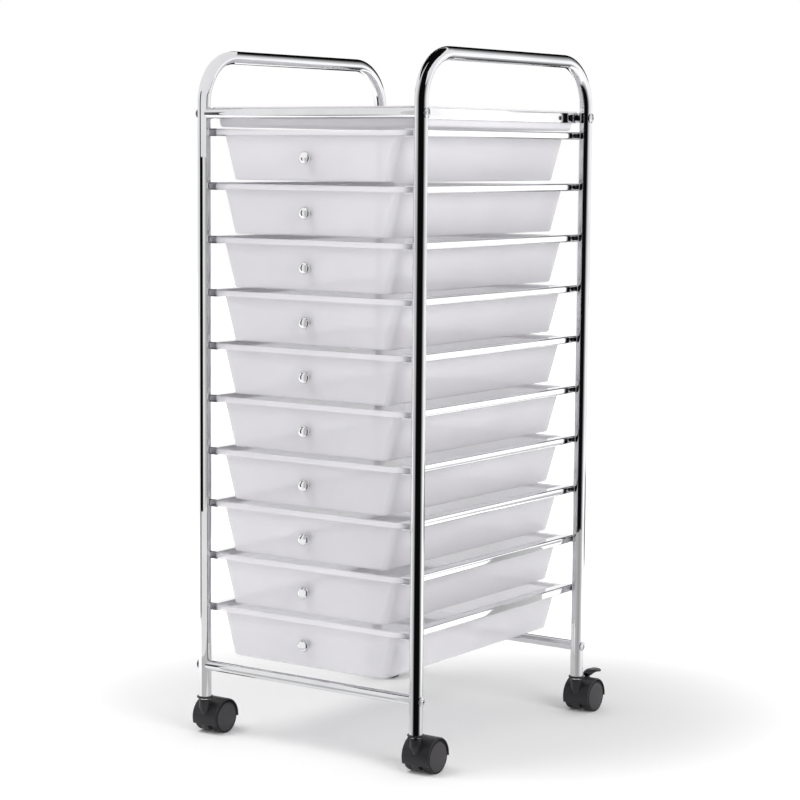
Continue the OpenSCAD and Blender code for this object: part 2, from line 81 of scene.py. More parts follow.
def plainMesh(piece, name):
    # the evaluated modifiers become a plain mesh, and the helper object goes
    graph = bpy.context.evaluated_depsgraph_get()
    mesh = bpy.data.meshes.new_from_object(piece.evaluated_get(graph))
    mesh.name = name
    bpy.data.objects.remove(piece)
    return mesh


def addPiece(name, mesh, body, slot, node, sharp):
    # a visible piece in place of a node, smooth but for edges sharper than an angle
    shadeByAngle(mesh, sharp)
    mesh.materials.clear()
    mesh.materials.append(finishes[slot])
    piece = newObject(name, mesh)
    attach(piece, body)
    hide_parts(node)
    return piece


def middle(low, high):
    return [(a + b) / 2 for a, b in zip(low, high)]


def moved(mesh, name, matrix):
    # a copy of a mesh with its place in its points, and a mirrored one faces outwards again
    copy = mesh.copy()
    copy.name = name
    copy.transform(matrix)
    if matrix.determinant() < 0:
        copy.flip_normals()
    copy.update()
    return copy


def boxMesh(name, low, high):
    bm = bmesh.new()
    bmesh.ops.create_cube(bm, size=1.0)
    size = Vector(high) - Vector(low)
    bmesh.ops.scale(bm, vec=size, verts=bm.verts)
    bmesh.ops.translate(bm, vec=(Vector(high) + Vector(low)) / 2, verts=bm.verts)
    mesh = bpy.data.meshes.new(name)
    bm.to_mesh(mesh)
    bm.free()
    return mesh


def joined(name, meshes):
    bm = bmesh.new()
    for mesh in meshes:
        bm.from_mesh(mesh)
    whole = bpy.data.meshes.new(name)
    bm.to_mesh(whole)
    bm.free()
    return whole


def lofted(name, rings):
    # a closed body through rings of the same count, capped at both ends
    count, last = len(rings[0]), len(rings) - 1
    faces = []
    for k in range(last):
        for n in range(count):
            m = (n + 1) % count
            faces.append((k * count + n, k * count + m, (k + 1) * count + m, (k + 1) * count + n))
    faces.append(tuple(reversed(range(count))))
    faces.append(tuple(range(last * count, (last + 1) * count)))
    mesh = meshFrom(name, [point for ring in rings for point in ring], faces)
    outwards(mesh)
    return mesh


def arc(centre, radius, start, end, steps):
    # points of a round stretch, angles in degrees
    out = []
    for k in range(steps + 1):
        a = radians(start + (end - start) * k / steps)
        out.append((centre[0] + radius * cos(a), centre[1] + radius * sin(a)))
    return out


def turned(name, profile, sides):
    # a closed body turned round Z from (radius, height) points that run bottom to top
    points, faces, rings = [], [], []
    for r, z in profile:
        if r < 1e-7:
            rings.append([len(points)])
            points.append((0.0, 0.0, z))
            continue
        rings.append(list(range(len(points), len(points) + sides)))
        for k in range(sides):
            a = 2 * pi * k / sides
            points.append((r * cos(a), r * sin(a), z))
    closed = len(rings[0]) > 1 and len(rings[-1]) > 1
    pairs = list(zip(rings, rings[1:])) + ([(rings[-1], rings[0])] if closed else [])
    for low, high in pairs:
        for k in range(sides):
            n = (k + 1) % sides
            if len(low) == 1:
                faces.append((low[0], high[n], high[k]))
            elif len(high) == 1:
                faces.append((low[k], low[n], high[0]))
            else:
                faces.append((low[k], low[n], high[n], high[k]))
    mesh = meshFrom(name, points, faces)
    outwards(mesh)
    return mesh


def boolean(name, mesh, others, operation="DIFFERENCE"):
    # a mesh less the others, or united with them, by exact booleans
    piece = newObject(name, mesh)
    tools = []
    for k, other in enumerate(others):
        tool = newObject(f"{name}_tool_{k}", other)
        step = piece.modifiers.new("step", "BOOLEAN")
        step.operation, step.solver, step.object = operation, "EXACT", tool
        tools.append(tool)
    result = plainMesh(piece, name)
    for tool in tools:
        bpy.data.objects.remove(tool)
    return result


def bevelled(mesh, name, width, segments, angle):
    piece = newObject(name, mesh)
    edge = piece.modifiers.new("edge", "BEVEL")
    edge.width = width
    edge.segments = segments
    edge.limit_method = "ANGLE"
    edge.angle_limit = radians(angle)
    return plainMesh(piece, name)


# Node tools, shader groups and materials

def newNode(tree, kind, values=None, **settings):
    # a node with its settings, and plain values on its inputs
    node = tree.nodes.new(kind)
    for label, value in settings.items():
        setattr(node, label, value)
    for label, value in (values or {}).items():
        node.inputs[label].default_value = value
    return node


def wire(tree, *pairs):
    for source, target in pairs:
        tree.links.new(source, target)


def newGroup(kind, name, inputs, outputs):
    # a tree with named sockets, given as (label, type, value) and (label, type)
    tree = bpy.data.node_groups.new(name, kind)
    for label, sort, value in inputs:
        socket = tree.interface.new_socket(label, in_out="INPUT", socket_type="NodeSocket" + sort)
        if value is not None:
            socket.default_value = value
    for label, sort in outputs:
        tree.interface.new_socket(label, in_out="OUTPUT", socket_type="NodeSocket" + sort)
    newNode(tree, "NodeGroupInput", name="in")
    newNode(tree, "NodeGroupOutput", name="out")
    return tree


def noiseNode(tree, scale, detail):
    return newNode(tree, "ShaderNodeTexNoise", {"Scale": scale, "Detail": detail})


def rangeNode(tree, fromLow, fromHigh, toLow, toHigh, **settings):
    ends = {"From Min": fromLow, "From Max": fromHigh, "To Min": toLow, "To Max": toHigh}
    return newNode(tree, "ShaderNodeMapRange", ends, **settings)


def handlingMarks():
    # fine wipe marks and faint smears on polished metal: roughness and a small height
    tree = newGroup(
        "ShaderNodeTree", "handling marks",
        [("Scale", "Float", 1.0), ("Low", "Float", 0.03), ("High", "Float", 0.12)],
        [("Roughness", "Float"), ("Height", "Float")],
    )
    given, out = tree.nodes["in"].outputs, tree.nodes["out"].inputs
    place = newNode(tree, "ShaderNodeTexCoord")
    scale = newNode(tree, "ShaderNodeVectorMath", operation="SCALE")
    smear = noiseNode(tree, 14.0, 4.0)
    fine = noiseNode(tree, 900.0, 2.0)
    mask = rangeNode(tree, 0.42, 0.72, 0.0, 1.0)
    rough = newNode(tree, "ShaderNodeMapRange")
    wire(tree, (place.outputs["Object"], scale.inputs[0]), (given["Scale"], scale.inputs["Scale"]),
         (scale.outputs[0], smear.inputs["Vector"]), (scale.outputs[0], fine.inputs["Vector"]),
         (smear.outputs["Fac"], mask.inputs["Value"]), (mask.outputs["Result"], rough.inputs["Value"]),
         (given["Low"], rough.inputs["To Min"]), (given["High"], rough.inputs["To Max"]),
         (rough.outputs["Result"], out["Roughness"]), (fine.outputs["Fac"], out["Height"]))
    return tree


def mouldGrain():
    # the fine matt grain of a moulded surface, with slow flow marks under it
    tree = newGroup(
        "ShaderNodeTree", "mould grain",
        [("Grain Scale", "Float", 1400.0), ("Flow Scale", "Float", 9.0)],
        [("Height", "Float"), ("Flow", "Float")],
    )
    given, out = tree.nodes["in"].outputs, tree.nodes["out"].inputs
    place = newNode(tree, "ShaderNodeTexCoord")
    grain = newNode(tree, "ShaderNodeTexVoronoi", feature="SMOOTH_F1")
    flow = noiseNode(tree, 9.0, 3.0)
    wire(tree, (given["Grain Scale"], grain.inputs["Scale"]), (place.outputs["Object"], grain.inputs["Vector"]),
         (given["Flow Scale"], flow.inputs["Scale"]), (place.outputs["Object"], flow.inputs["Vector"]),
         (grain.outputs["Distance"], out["Height"]), (flow.outputs["Fac"], out["Flow"]))
    return tree


marksGroup = handlingMarks()
grainGroup = mouldGrain()


def newMaterial(name):
    material = bpy.data.materials.new(name)
    material.use_nodes = True
    return material, material.node_tree, material.node_tree.nodes["Principled BSDF"]


def placeGroup(tree, group, values):
    return newNode(tree, "ShaderNodeGroup", values, node_tree=group)


def bumpInto(tree, height, shader, strength, distance):
    bump = newNode(tree, "ShaderNodeBump", {"Strength": strength, "Distance": distance})
    wire(tree, (height, bump.inputs["Height"]), (bump.outputs["Normal"], shader.inputs["Normal"]))


def blended(tree, factor, low, high):
    mix = newNode(tree, "ShaderNodeMix", {"A": (*low, 1), "B": (*high, 1)}, data_type="RGBA")
    tree.links.new(factor, mix.inputs["Factor"])
    return mix.outputs["Result"]


def metal(name, clean, dull, rough, bump):
    # plated metal, duller where the wipe marks make it rougher
    material, tree, shader = newMaterial(name)
    shader.inputs["Metallic"].default_value = 1.0
    marks = placeGroup(tree, marksGroup, {"Low": rough[0], "High": rough[1]})
    tint = rangeNode(tree, *rough, 0.0, 1.0)
    wire(tree, (marks.outputs["Roughness"], shader.inputs["Roughness"]),
         (marks.outputs["Roughness"], tint.inputs["Value"]),
         (blended(tree, tint.outputs["Result"], clean, dull), shader.inputs["Base Color"]))
    bumpInto(tree, marks.outputs["Height"], shader, bump, 0.02 * mm)
    return material


def frosted(name, cover, clearness, deep, pale, rough, grainScale, flowScale):
    # thin matt plastic: near shapes show through it, far ones are lost
    material, tree, shader = newMaterial(name)
    shader.inputs["Alpha"].default_value = cover
    shader.inputs["Transmission Weight"].default_value = clearness
    shader.inputs["IOR"].default_value = 1.42
    grain = placeGroup(tree, grainGroup, {"Grain Scale": grainScale, "Flow Scale": flowScale})
    flow = rangeNode(tree, 0.3, 0.7, 0.0, 1.0)
    spread = rangeNode(tree, 0.0, 1.0, *rough)
    wire(tree, (grain.outputs["Flow"], flow.inputs["Value"]), (grain.outputs["Flow"], spread.inputs["Value"]),
         (blended(tree, flow.outputs["Result"], deep, pale), shader.inputs["Base Color"]),
         (spread.outputs["Result"], shader.inputs["Roughness"]))
    bumpInto(tree, grain.outputs["Height"], shader, 0.25, 0.05 * mm)
    return material


def nylon(name, deep, pale, rough, grainScale):
    material, tree, shader = newMaterial(name)
    shader.inputs["Specular IOR Level"].default_value = 0.32
    grain = placeGroup(tree, grainGroup, {"Grain Scale": grainScale, "Flow Scale": 40.0})
    spread = rangeNode(tree, 0.2, 0.8, *rough)
    wire(tree, (blended(tree, grain.outputs["Flow"], deep, pale), shader.inputs["Base Color"]),
         (grain.outputs["Flow"], spread.inputs["Value"]), (spread.outputs["Result"], shader.inputs["Roughness"]))
    bumpInto(tree, grain.outputs["Height"], shader, 0.35, 0.06 * mm)
    return material


metals = {
    "frame chrome": dict(clean=(0.75, 0.752, 0.765), dull=(0.68, 0.682, 0.695), rough=(0.03, 0.08), bump=0.05),
    # the rails' chrome is a brighter copy of the frame's: painted light, for the white that their flat webs reflect
    "rail chrome": dict(clean=(0.93, 0.932, 0.94), dull=(0.86, 0.862, 0.875), rough=(0.05, 0.13), bump=0.12),
    # the screws' chrome is a darker copy: painted shade on their heads, in place of darker reflections
    "screw chrome": dict(clean=(0.66, 0.665, 0.68), dull=(0.58, 0.585, 0.60), rough=(0.08, 0.18), bump=0.1),
    "knob chrome": dict(clean=(0.86, 0.86, 0.87), dull=(0.80, 0.80, 0.81), rough=(0.02, 0.05), bump=0.04),
    "pin steel": dict(clean=(0.62, 0.63, 0.64), dull=(0.50, 0.50, 0.51), rough=(0.18, 0.35), bump=0.2),
}
drawerLook = {
    "cover": 0.52,    # how much one surface hides
    "clearness": 0.12,
    "deep": (0.870, 0.856, 0.890),
    "pale": (0.925, 0.912, 0.942),
    "rough": (0.24, 0.38),
    "grainScale": 1600.0,
    "flowScale": 7.0,
}
plastics = {"drawer plastic": drawerLook, "tray plastic": {**drawerLook, "cover": 0.62}}
nylons = {
    "caster nylon": dict(deep=(0.012, 0.012, 0.014), pale=(0.022, 0.021, 0.024), rough=(0.28, 0.42), grainScale=2200.0),
    "wheel nylon": dict(deep=(0.030, 0.028, 0.031), pale=(0.046, 0.042, 0.047), rough=(0.38, 0.55), grainScale=2600.0),
    "tread nylon": dict(deep=(0.008, 0.008, 0.009), pale=(0.016, 0.015, 0.017), rough=(0.45, 0.6), grainScale=1800.0),
    "socket nylon": dict(deep=(0.010, 0.010, 0.011), pale=(0.02, 0.02, 0.022), rough=(0.25, 0.4), grainScale=2200.0),
}
finishes = {}
for make, looks in ((metal, metals), (frosted, plastics), (nylon, nylons)):
    for name, look in looks.items():
        finishes[name.replace(" ", "_")] = make(name, **look)
print("materials made:", len(bpy.data.materials))


# Geometry node trees

def newTree(name, inputs):
    inputs = [("Geometry", "Geometry", None), *inputs, ("Material", "Material", None)]
    return newGroup("GeometryNodeTree", name, inputs, [("Geometry", "Geometry")])


def lastNodes(tree, geometry):
    # every tree ends in real geometry with its material
    real = newNode(tree, "GeometryNodeRealizeInstances")
    paint = newNode(tree, "GeometryNodeSetMaterial")
    wire(tree, (geometry, real.inputs["Geometry"]), (real.outputs["Geometry"], paint.inputs["Geometry"]),
         (tree.nodes["in"].outputs["Material"], paint.inputs["Material"]),
         (paint.outputs["Geometry"], tree.nodes["out"].inputs["Geometry"]))
    return tree


def grown(name, base, tree, values, wall=None):
    # runs a tree on a base mesh and gives back the plain result
    piece = newObject(name + "_base", base)
    growth = piece.modifiers.new("growth", "NODES")
    growth.node_group = tree
    for item in tree.interface.items_tree:
        if item.in_out == "INPUT" and item.name in values:
            growth[item.identifier] = values[item.name]
    if wall:
        shell = piece.modifiers.new("wall", "SOLIDIFY")
        shell.thickness = wall
        shell.offset = -1.0
        shell.use_even_offset = True
    return plainMesh(piece, name)


def tubeTree():
    # a round tube along an open line of points, its inner corners bent to a radius
    tree = newTree("bent tube", [
        ("Tube Radius", "Float", 9 * mm),
        ("Bend Radius", "Float", 63 * mm),
        ("Bend Steps", "Int", 28),
        ("Round Steps", "Int", 64),
    ])
    given = tree.nodes["in"].outputs
    line = newNode(tree, "GeometryNodeMeshToCurve")
    bend = newNode(tree, "GeometryNodeFilletCurve", mode="POLY")
    ring = newNode(tree, "GeometryNodeCurvePrimitiveCircle")
    sweep = newNode(tree, "GeometryNodeCurveToMesh")
    wire(tree, (given["Geometry"], line.inputs["Mesh"]), (line.outputs["Curve"], bend.inputs["Curve"]),
         (given["Bend Radius"], bend.inputs["Radius"]), (given["Bend Steps"], bend.inputs["Count"]),
         (given["Round Steps"], ring.inputs["Resolution"]), (given["Tube Radius"], ring.inputs["Radius"]),
         (bend.outputs["Curve"], sweep.inputs["Curve"]), (ring.outputs["Curve"], sweep.inputs["Profile Curve"]))
    return lastNodes(tree, sweep.outputs["Mesh"])


def stackTree():
    # copies of one part in a row, a step apart
    tree = newTree("stacked parts", [("Count", "Int", 10), ("Step", "Vector", (0, 0, 0))])
    given = tree.nodes["in"].outputs
    row = newNode(tree, "GeometryNodeMeshLine", mode="OFFSET")
    copies = newNode(tree, "GeometryNodeInstanceOnPoints")
    wire(tree, (given["Count"], row.inputs["Count"]), (given["Step"], row.inputs["Offset"]),
         (row.outputs["Mesh"], copies.inputs["Points"]), (given["Geometry"], copies.inputs["Instance"]))
    return lastNodes(tree, copies.outputs["Instances"])


def pairTree():
    # one part set on each point of the base mesh, turned about Z where the point lies at -X
    tree = newTree("parts on both sides", [("Part", "Object", None)])
    given = tree.nodes["in"].outputs
    part = newNode(tree, "GeometryNodeObjectInfo")
    place = newNode(tree, "GeometryNodeInputPosition")
    split = newNode(tree, "ShaderNodeSeparateXYZ")
    side = newNode(tree, "FunctionNodeCompare", data_type="FLOAT", operation="LESS_THAN")
    half = newNode(tree, "ShaderNodeMath", {1: pi}, operation="MULTIPLY")
    turn = newNode(tree, "ShaderNodeCombineXYZ")
    copies = newNode(tree, "GeometryNodeInstanceOnPoints")
    wire(tree, (given["Part"], part.inputs["Object"]), (place.outputs["Position"], split.inputs["Vector"]),
         (split.outputs["X"], side.inputs["A"]), (side.outputs["Result"], half.inputs[0]),
         (half.outputs["Value"], turn.inputs["Z"]), (given["Geometry"], copies.inputs["Points"]),
         (part.outputs["Geometry"], copies.inputs["Instance"]), (turn.outputs["Vector"], copies.inputs["Rotation"]))
    return lastNodes(tree, copies.outputs["Instances"])


bentTube = tubeTree()
stackedParts = stackTree()
partsOnBothSides = pairTree()


# Side frames and crossbars

tube = {"wall": 1.2 * mm, "bendRadius": 63 * mm, "bendSteps": 30, "frameSides": 64, "barSides": 48}


def addTube(name, node, radius, points, bendRadius, sides):
    line = bpy.data.meshes.new("tube line")
    line.from_pydata(points, [(k, k + 1) for k in range(len(points) - 1)], [])
    mesh = grown(name, line, bentTube, {
        "Tube Radius": radius,
        "Bend Radius": bendRadius,
        "Bend Steps": tube["bendSteps"],
        "Round Steps": sides,
        "Material": finishes["frame_chrome"],
    }, wall=tube["wall"])
    outwards(mesh)
    addPiece(name, mesh, "cart_frame", "frame_chrome", node, 40)


for side in ("left", "right"):
    low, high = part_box(f"{side}_side_frame")
    radius, x = (high.x - low.x) / 2, middle(low, high)[0]
    front, rear, top = low.y + radius, high.y - radius, high.z - radius
    addTube(f"{side}_frame_tube", f"{side}_side_frame", radius,
            [(x, front, low.z), (x, front, top), (x, rear, top), (x, rear, low.z)],
            tube["bendRadius"], tube["frameSides"])
for place in ("front_top", "rear_top", "front_bottom", "rear_bottom"):
    low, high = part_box(f"{place}_bar")
    y, z = middle(low, high)[1:]
    addTube(f"{place}_crossbar", f"{place}_bar", (high.z - low.z) / 2,
            [(low.x, y, z), (high.x, y, z)], 0.0, tube["barSides"])
print("tubes made")


# Rails: a bent channel that opens inwards, with a stop plate at its rear end

rail = {
    "wall": 1.2 * mm,
    "height": 10 * mm,
    "trayHeight": 14 * mm,
    "bendRadius": 2.2 * mm,
    "bendSteps": 5,
    "count": 10,
    "stripRound": 0.45 * mm,
    "stripReach": 1.0 * mm,    # how far the tray strip goes past the crossbars' inner sides
    "stopInset": 0.5 * mm,
    "stopBite": 0.05 * mm,     # how far the stop plate reaches into the channel's walls
}


def railMesh(name, inX, outX, bottom, top, front, rear):
    # a channel with its web at outX, its section counter-clockwise in X and Z, and its stop plate
    wall, radius, steps, inset = rail["wall"], rail["bendRadius"], rail["bendSteps"], rail["stopInset"]
    bendX, between = outX - radius, wall - rail["stopBite"]
    section = [(inX, bottom)]
    section += arc((bendX, bottom + radius), radius, -90, 0, steps)
    section += arc((bendX, top - radius), radius, 0, 90, steps)
    section += [(inX, top), (inX, top - wall)]
    section += arc((bendX, top - radius), radius - wall, 90, 0, steps)
    section += arc((bendX, bottom + radius), radius - wall, 0, -90, steps)
    section += [(inX, bottom + wall)]
    channel = lofted(name, [[(x, y, z) for x, z in section] for y in (front, rear)])
    plate = boxMesh(name + " stop", (inX + inset, rear - wall, bottom + between),
                    (bendX + inset, rear, top - between))
    return joined(name, [channel, plate])


railLow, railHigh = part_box("right_rails")
drawerPitch = (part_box("drawer_01")[1].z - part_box("drawer_10")[1].z) / (rail["count"] - 1)
barFront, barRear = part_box("front_top_bar")[1].y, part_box("rear_top_bar")[0].y    # the crossbars' inner sides
first = railMesh("lowest rail", railLow.x, railHigh.x, railLow.z, railLow.z + rail["height"], railLow.y, railHigh.y)
drawerRails = grown("drawer_rails", first, stackedParts, {
    "Count": rail["count"],
    "Step": (0.0, 0.0, drawerPitch),
    "Material": finishes["rail_chrome"],
})
strip = boxMesh("tray strip",
                (railHigh.x - rail["wall"], barFront - rail["stripReach"], railHigh.z - rail["trayHeight"]),
                (railHigh.x, barRear + rail["stripReach"], railHigh.z))
strip = bevelled(strip, "tray strip", rail["stripRound"], 3, 40)
rightRails = joined("right_rail_channels", [drawerRails, strip])
leftRails = moved(rightRails, "left_rail_channels", Matrix.Scale(-1, 4, (1, 0, 0)))
for side, mesh in (("right", rightRails), ("left", leftRails)):
    addPiece(f"{side}_rail_channels", mesh, "cart_frame", "rail_chrome", f"{side}_rails", 35)
print("rails made")


# Tubs: the drawers and the tray are lofts of rings with four round corners

def cornerRing(x, front, rear, frontRadius, rearRadius, z, steps):
    # points round a rectangle, counter-clockwise from above
    out = []
    for cx, cy, r, start in (
        (x - frontRadius, front + frontRadius, frontRadius, -90),
        (x - rearRadius, rear - rearRadius, rearRadius, 0),
        (-x + rearRadius, rear - rearRadius, rearRadius, 90),
        (-x + frontRadius, front + frontRadius, frontRadius, 180),
    ):
        out += [(px, py, z) for px, py in arc((cx, cy), r, start, start + 90, steps)]
    return out


drawer = {
    "wall": 2.0 * mm,
    "corner": 10.0 * mm,
    "leastCorner": 1.5 * mm,
    "floorFillet": 2.0 * mm,
    "sideSlope": 19.5 * mm,
    "endSlope": 0.0,
    "sideIn": 7.0 * mm,       # from the rails' inner edge to the body's side
    "frontRim": 6.0 * mm,
    "rearRim": 2.8 * mm,
    "rimFrontCorner": 28.0 * mm,
    "rimRearCorner": 6.0 * mm,
    "rimFlat": 0.3 * mm,
    "edgeRound": 0.7 * mm,
    "cornerSteps": 10,
    # millimetres down from the top and in from the edge: round the rim's skirt, then onto the body
    "underRim": [(6.6, 0.0), (7.0, 0.4), (7.0, 1.6), (6.6, 2.0), (2.8, 2.0), (2.0, 2.8)],
    "ontoBody": [(2.0, -0.8), (2.8, 0.0)],
}
tray = {
    "wall": 2.0 * mm,
    "corner": 9.0 * mm,
    "leastCorner": 2.0 * mm,
    "floorFillet": 3.0 * mm,
    "sideSlope": 2.5 * mm,
    "endSlope": 2.5 * mm,
    "sideIn": 1.8 * mm,       # from the tray strips to the walls
    "endIn": 1.5 * mm,        # from the crossbars to the walls
    "rimFrontCorner": 10.0 * mm,
    "rimRearCorner": 10.0 * mm,
    "rimFlat": 0.0,
    "edgeRound": 0.7 * mm,
    "cornerSteps": 12,
    "underRim": [(2.0, 0.3)],
    "ontoBody": [(2.0, -0.1)],
}
lipSteps = [(1.5, 0.0), (0.4, 0.4), (0.0, 1.4)]    # the inner wall's round lip, in millimetres


def tubMesh(name, tub, low, high, side, front, rear):
    # up the inner wall, over the rim and down the outer wall, lofted in reverse
    wall, fillet, edge, steps = tub["wall"], tub["floorFillet"], tub["edgeRound"], tub["cornerSteps"]
    floor, top = low.z, high.z

    def bodyRing(z, inset, extra=0.0):
        # a ring of the sloping body at height z, moved in by inset and extra
        down = (top - z) / (top - floor)
        sideIn = tub["sideSlope"] * down + inset + extra
        endIn = tub["endSlope"] * down + inset + extra
        r = max(tub["corner"] - inset - extra, tub["leastCorner"])
        return cornerRing(side - sideIn, front + endIn, rear - endIn, r, r, z, steps)

    def rimRing(z, inset):
        return cornerRing(high.x - inset, low.y + inset, high.y - inset,
                          tub["rimFrontCorner"] - inset, tub["rimRearCorner"] - inset, z, steps)

    quarter = [radians(90 * k / 4) for k in range(5)]
    outer = fillet + wall * 0.4
    rings = [bodyRing(floor + wall + fillet * (1 - cos(a)), wall, fillet * (1 - sin(a))) for a in quarter]
    rings += [bodyRing(top - drop * mm, wall - back * mm) for drop, back in lipSteps]
    rings.append(rimRing(top, edge + tub["rimFlat"]))
    for a in map(radians, (30, 60, 90)):
        rings.append(rimRing(top - edge * (1 - cos(a)), edge * (1 - sin(a))))
    rings += [rimRing(top - drop * mm, inset * mm) for drop, inset in tub["underRim"]]
    rings += [bodyRing(top - drop * mm, inset * mm) for drop, inset in tub["ontoBody"]]
    rings += [bodyRing(floor + outer * (1 - sin(a)), 0.0, outer * (1 - cos(a))) for a in quarter]
    return lofted(name, rings[::-1])


numbers = [f"{k:02d}" for k in range(1, rail["count"] + 1)]
for number in numbers:
    name, node = f"drawer_{number}_shell", f"drawer_{number}"
    low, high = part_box(node)
    mesh = tubMesh(name, drawer, low, high, railLow.x - drawer["sideIn"],
                   low.y + drawer["frontRim"], high.y - drawer["rearRim"])
    addPiece(name, mesh, f"drawer_{number}_body", "drawer_plastic", node, 35)
print("drawers made")

low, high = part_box("top_tray")
mesh = tubMesh("tray_shell", tray, low, high, railHigh.x - rail["wall"] - tray["sideIn"],
               barFront + tray["endIn"], barRear - tray["endIn"])
addPiece("tray_shell", mesh, "cart_frame", "tray_plastic", "top_tray", 35)
print("tray made")


# Knobs and their screws, turned round Z and laid towards -Y

knob = {"footRadius": 5.5 * mm, "footHeight": 1.5 * mm, "neckRadius": 4.0 * mm, "neckLength": 5.0 * mm, "sides": 48}


def knobProfile(length, radius):
    k = knob
    dome = length - k["neckLength"]
    edge = dome * 0.32
    ball = (radius ** 2 + (dome - edge) ** 2) / (2 * (dome - edge))
    start = degrees(asin((length - ball - k["neckLength"] - edge) / -ball))
    profile = [(0.0, 0.0), (k["footRadius"] - 0.3 * mm, 0.0), (k["footRadius"], 0.3 * mm)]
    profile += arc((k["footRadius"] - 0.5 * mm, k["footHeight"] - 0.5 * mm), 0.5 * mm, 0, 90, 4)
    profile += arc((k["neckRadius"] + 0.9 * mm, k["footHeight"] + 0.9 * mm), 0.9 * mm, 270, 180, 5)
    profile += arc((k["neckRadius"] + 1.4 * mm, k["neckLength"] - 1.2 * mm), 1.4 * mm, 180, 110, 5)
    profile += [(radius - 1.0 * mm, k["neckLength"] + edge * 0.55)]
    profile += arc((radius - 0.9 * mm, k["neckLength"] + edge), 0.9 * mm, -50, 25, 5)
    profile += arc((0.0, length - ball), ball, start + 4, 90, 14)
    profile[-1] = (0.0, length)
    return profile


def laid(mesh, name, angle, y, z):
    # a part turned round Z comes to lie along Y
    return moved(mesh, name, Matrix.Translation((0, y, z)) @ Matrix.Rotation(radians(angle), 4, "X"))


low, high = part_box("knob_01")
knobShape = turned("knob", knobProfile(high.y - low.y, (high.x - low.x) / 2), knob["sides"])
for number in numbers:
    low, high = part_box(f"knob_{number}")
    name = f"knob_{number}_turned"
    mesh = laid(knobShape, name, 90, high.y, (low.z + high.z) / 2)
    addPiece(name, mesh, f"drawer_{number}_body", "knob_chrome", f"knob_{number}", 30)
print("knobs made")


# Screws with a cross recess: a head turned round Z, cut, and set in place

crossRecess = {"length": 6.0 * mm, "width": 1.4 * mm, "depth": 1.5 * mm}


def crossCutters(top, scale):
    half = crossRecess["length"] * scale / 2
    wide = crossRecess["width"] * scale / 2
    deep = crossRecess["depth"] * scale
    arm = boxMesh("arm", (-half, -wide, top - deep), (half, wide, top + mm))
    return [arm, moved(arm, "arm turned", Matrix.Rotation(radians(90), 4, "Z"))]


def screwMesh(name, headRadius, headHeight, edge, shankRadius, shankLength, recess, sides):
    rise = headHeight - edge
    ball = (headRadius ** 2 + rise ** 2) / (2 * rise)
    start = degrees(atan2(edge - (headHeight - ball), headRadius))
    profile = [(0.0, -shankLength), (shankRadius - 0.6 * mm, -shankLength), (shankRadius, -shankLength + 0.6 * mm)]
    profile += [(shankRadius, 0.0), (headRadius - 0.3 * mm, 0.0), (headRadius, 0.3 * mm)]
    profile += arc((0.0, headHeight - ball), ball, start, 90, 10)
    profile[-1] = (0.0, headHeight)
    mesh = boolean(name, turned(name, profile, sides), crossCutters(headHeight, recess))
    outwards(mesh)
    return mesh


frameScrew = {
    "headRadius": 6.5 * mm,
    "headHeight": 2.4 * mm,
    "edge": 0.6 * mm,
    "shankRadius": 2.5 * mm,
    "shankLength": 32 * mm,
    "recess": 1.0,            # scale of the cross recess
    "sides": 40,
}
low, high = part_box("frame_screws")
shape = screwMesh("frame screw", **frameScrew)
shape.transform(Matrix.Rotation(radians(90), 4, "Y"))
seat = high.x - frameScrew["headHeight"]
spots = []
for x in (-seat, seat):
    for end in ("front", "rear"):
        for level in ("bottom", "top"):
            spots.append((x, middle(*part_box(f"{end}_top_bar"))[1], middle(*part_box(f"front_{level}_bar"))[2]))
cloud = bpy.data.meshes.new("screw spots")
cloud.from_pydata(spots, [], [])
pattern = newObject("screw_pattern", shape)
mesh = grown("frame_screw_set", cloud, partsOnBothSides, {"Part": pattern, "Material": finishes["screw_chrome"]})
bpy.data.objects.remove(pattern)
addPiece("frame_screw_set", mesh, "cart_frame", "screw_chrome", "frame_screws", 30)

knobScrew = {"headHeight": 2.4 * mm, "edge": 0.5 * mm, "shankRadius": 2.0 * mm, "recess": 0.66, "sides": 28}
low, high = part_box("knob_screw_01")
shape = screwMesh("knob screw", headRadius=(high.x - low.x) / 2,
                  shankLength=high.y - low.y - knobScrew["headHeight"], **knobScrew)
for number in numbers:
    low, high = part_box(f"knob_screw_{number}")
    name = f"knob_{number}_screw"
    mesh = laid(shape, name, -90, high.y - knobScrew["headHeight"], (low.z + high.z) / 2)
    addPiece(name, mesh, f"drawer_{number}_body", "pin_steel", f"knob_screw_{number}", 30)
print("screws made")


# Casters

caster = {
    "trail": 22.5 * mm,
    "axleHeight": 22.0 * mm,
    "hoodRadius": 25.9 * mm,
    "pocketRadius": 23.6 * mm,
    "webHalf": 6.0 * mm,
    "hoodHalf": 20.5 * mm,
    "edgeHeight": 16.5 * mm,
    "edgeTilt": 8.0,          # degrees, the open edge rises to the rear
    "webBottom": 6.0 * mm,
    "columnRadius": 8.0 * mm,
    "columnFootRadius": 3.5 * mm,
    "columnFoot": 27.5 * mm,
    "columnTaper": 10.0 * mm,
    "columnTop": 48.5 * mm,
    "columnSoft": 0.8 * mm,
    "softEdge": 1.8 * mm,
    "slotHalf": 3.1 * mm,      # the brake lever's slot: half its width, and its place behind and above the axle
    "slotBack": (5.0 * mm, 14.9 * mm),
    "slotUp": 11.0 * mm,
}


def sideCylinder(name, radius, x0, x1, y, z, sides, soft=0.0):
    # a cylinder along X, with its rims rounded by soft
    profile = [(0.0, x0)]
    if soft:
        profile += arc((radius - soft, x0 + soft), soft, -90, 0, 5)
        profile += arc((radius - soft, x1 - soft), soft, 0, 90, 5)
    else:
        profile += [(radius, x0), (radius, x1)]
    profile += [(0.0, x1)]
    mesh = turned(name, profile, sides)
    mesh.transform(Matrix.Translation((0, y, z)) @ Matrix.Rotation(radians(90), 4, "Y"))
    return mesh


